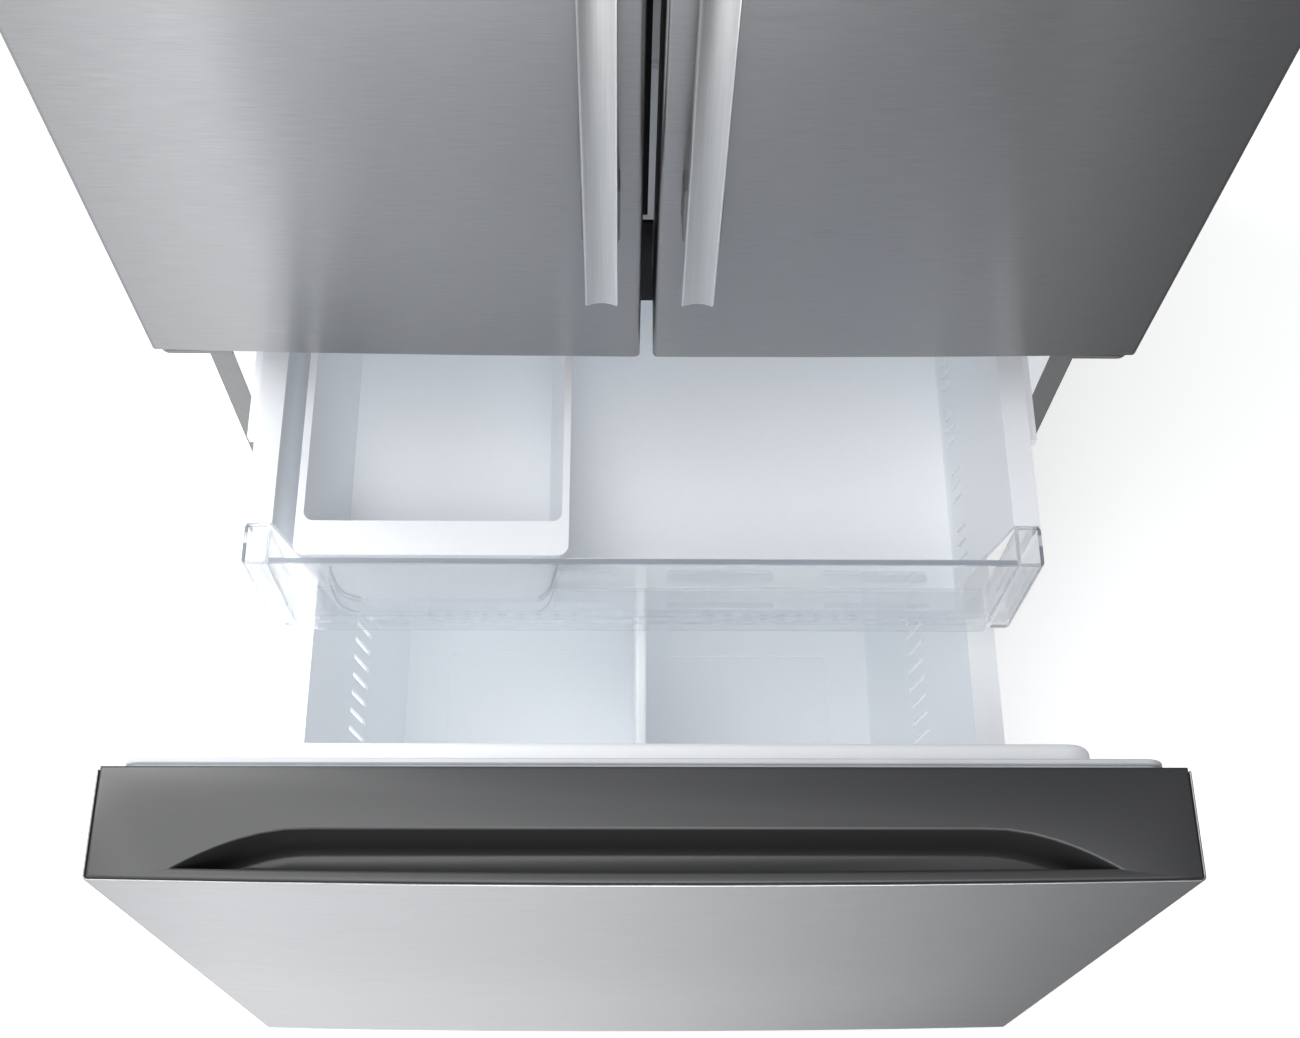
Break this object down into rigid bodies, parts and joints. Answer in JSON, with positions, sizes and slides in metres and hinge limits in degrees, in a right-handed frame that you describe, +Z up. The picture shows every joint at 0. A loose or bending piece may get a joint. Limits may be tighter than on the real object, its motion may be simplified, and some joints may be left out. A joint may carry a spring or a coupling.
{
  "type": "french door refrigerator",
  "caption": "Two upper doors on side hinges over a bottom freezer drawer with a pocket handle, a sliding upper tray with a clear front and a divided lower basket.",
  "frame": {"origin": "on the floor, midway across the width and midway between the pulled freezer drawer's face and the back of the cabinet", "axes": "+X to the right of someone facing the doors, +Y to the back, +Z up"},
  "size_m": [0.756, 1.2309, 1.769],
  "materials": {
    "case_paint": "satin powder coat",
    "zinc_steel": "zinc plated",
    "slide_steel": "white enamel",
    "stainless": "horizontal brushed grain",
    "handle_steel": "satin",
    "cap_grey": "fine grain",
    "black_plastic": "fine grain",
    "liner_white": "vacuum formed",
    "tray_white": "smooth moulded",
    "basket_white": "smooth moulded",
    "seal": "soft vinyl",
    "clear_plastic": "clear moulded",
    "shelf_glass": "tempered",
    "lamp_cover": "opal",
    "foam": "cellular",
    "black_steel": "gloss enamel",
    "coil": "mill",
    "brass": "machined",
    "foot_steel": "black oxide"
  },
  "bodies": {
    "cabinet": {"outer_case": "case_paint", "back_panel": "zinc_steel", "insulation": "foam", "fridge_liner": "liner_white", "freezer_liner": "liner_white", "centre_rail": "black_plastic", "base_pan": "zinc_steel", "levelling_feet": "foot_steel", "toe_grille": "black_plastic", "top_hinges": "case_paint", "top_hinge_covers": "cap_grey", "middle_hinges": "case_paint", "hinge_screws": "zinc_steel", "compressor": "black_steel", "condenser": "coil", "fan_shroud": "black_plastic", "machine_cover": "black_plastic", "water_valve": "brass", "evaporator": "coil", "evaporator_cover": "liner_white", "ice_maker": "tray_white", "air_duct_cover": "liner_white", "light_cover": "lamp_cover", "shelf_frames": "liner_white", "shelf_glass": "shelf_glass", "slide_outers": "slide_steel"},
    "left_door": {"left_door_skin": "stainless", "left_door_foam": "foam", "left_door_caps": "cap_grey", "left_door_liner": "liner_white", "left_door_gasket": "seal", "left_door_bins": "clear_plastic", "left_handle": "handle_steel"},
    "right_door": {"right_door_skin": "stainless", "right_door_foam": "foam", "right_door_caps": "cap_grey", "right_door_liner": "liner_white", "right_door_gasket": "seal", "right_door_bins": "clear_plastic", "right_handle": "handle_steel"},
    "flap": {"centre_flap": "black_plastic"},
    "drawer": {"freezer_front_skin": "stainless", "freezer_handle_cap": "cap_grey", "freezer_foot_cap": "cap_grey", "freezer_front_foam": "foam", "freezer_front_liner": "liner_white", "freezer_gasket": "seal", "drawer_rails": "slide_steel", "lower_basket": "basket_white"},
    "slides": {"slide_middles": "slide_steel"},
    "divider": {"basket_divider": "basket_white"},
    "tray": {"upper_tray": "tray_white", "tray_front": "clear_plastic"},
    "bin": {"ice_bin": "tray_white"},
    "left_crisper": {"crisper_left": "clear_plastic"},
    "right_crisper": {"crisper_right": "clear_plastic"},
    "pantry": {"pantry_drawer": "clear_plastic"},
    "evaporator_fan": {"freezer_fan": "liner_white"},
    "cooling_fan": {"condenser_fan": "black_plastic"},
    "rollers": {"rear_rollers": "black_plastic"}
  },
  "joints": [
    {"name": "left_door_hinge", "type": "hinge", "parent": "cabinet", "child": "left_door", "pos_m": [-0.356, -0.1565, 1.2], "axis": [0, 0, -1], "range_deg": [0, 120]},
    {"name": "right_door_hinge", "type": "hinge", "parent": "cabinet", "child": "right_door", "pos_m": [0.356, -0.1565, 1.2], "axis": [0, 0, 1], "range_deg": [0, 120]},
    {"name": "flap_hinge", "type": "hinge", "parent": "left_door", "child": "flap", "pos_m": [-0.043, -0.113, 1.2], "axis": [0, 0, 1], "range_deg": [0, 80]},
    {"name": "freezer_drawer_slide", "type": "slide", "parent": "cabinet", "child": "drawer", "axis": [0, -1, 0], "range_m": [-0.405, 0.045]},
    {"name": "tray_slide", "type": "slide", "parent": "cabinet", "child": "tray", "axis": [0, -1, 0], "range_m": [-0.2511, 0.0279]},
    {"name": "slide_middles_slide", "type": "slide", "parent": "cabinet", "child": "slides", "axis": [0, -1, 0], "range_m": [-0.2025, 0.0225]},
    {"name": "divider_slide", "type": "slide", "parent": "drawer", "child": "divider", "axis": [1, 0, 0], "range_m": [-0.1, 0.1]},
    {"name": "ice_bin_lift", "type": "slide", "parent": "tray", "child": "bin", "axis": [0, 0, 1], "range_m": [0, 0.045]},
    {"name": "left_crisper_slide", "type": "slide", "parent": "cabinet", "child": "left_crisper", "axis": [0, -1, 0], "range_m": [0, 0.045]},
    {"name": "right_crisper_slide", "type": "slide", "parent": "cabinet", "child": "right_crisper", "axis": [0, -1, 0], "range_m": [0, 0.045]},
    {"name": "pantry_slide", "type": "slide", "parent": "cabinet", "child": "pantry", "axis": [0, -1, 0], "range_m": [0, 0.045]},
    {"name": "evaporator_fan_spin", "type": "hinge", "parent": "cabinet", "child": "evaporator_fan", "pos_m": [0, 0.4475, 0.586], "axis": [0, 1, 0], "continuous": true},
    {"name": "condenser_fan_spin", "type": "hinge", "parent": "cabinet", "child": "cooling_fan", "pos_m": [-0.066, 0.5115, 0.137], "axis": [1, 0, 0], "continuous": true},
    {"name": "rollers_turn", "type": "hinge", "parent": "cabinet", "child": "rollers", "pos_m": [0, 0.5335, 0.019], "axis": [1, 0, 0], "continuous": true}
  ],
  "couplings": [
    {"joint": "tray_slide", "follows": "freezer_drawer_slide", "ratio": 0.62},
    {"joint": "slide_middles_slide", "follows": "freezer_drawer_slide", "ratio": 0.5}
  ]
}
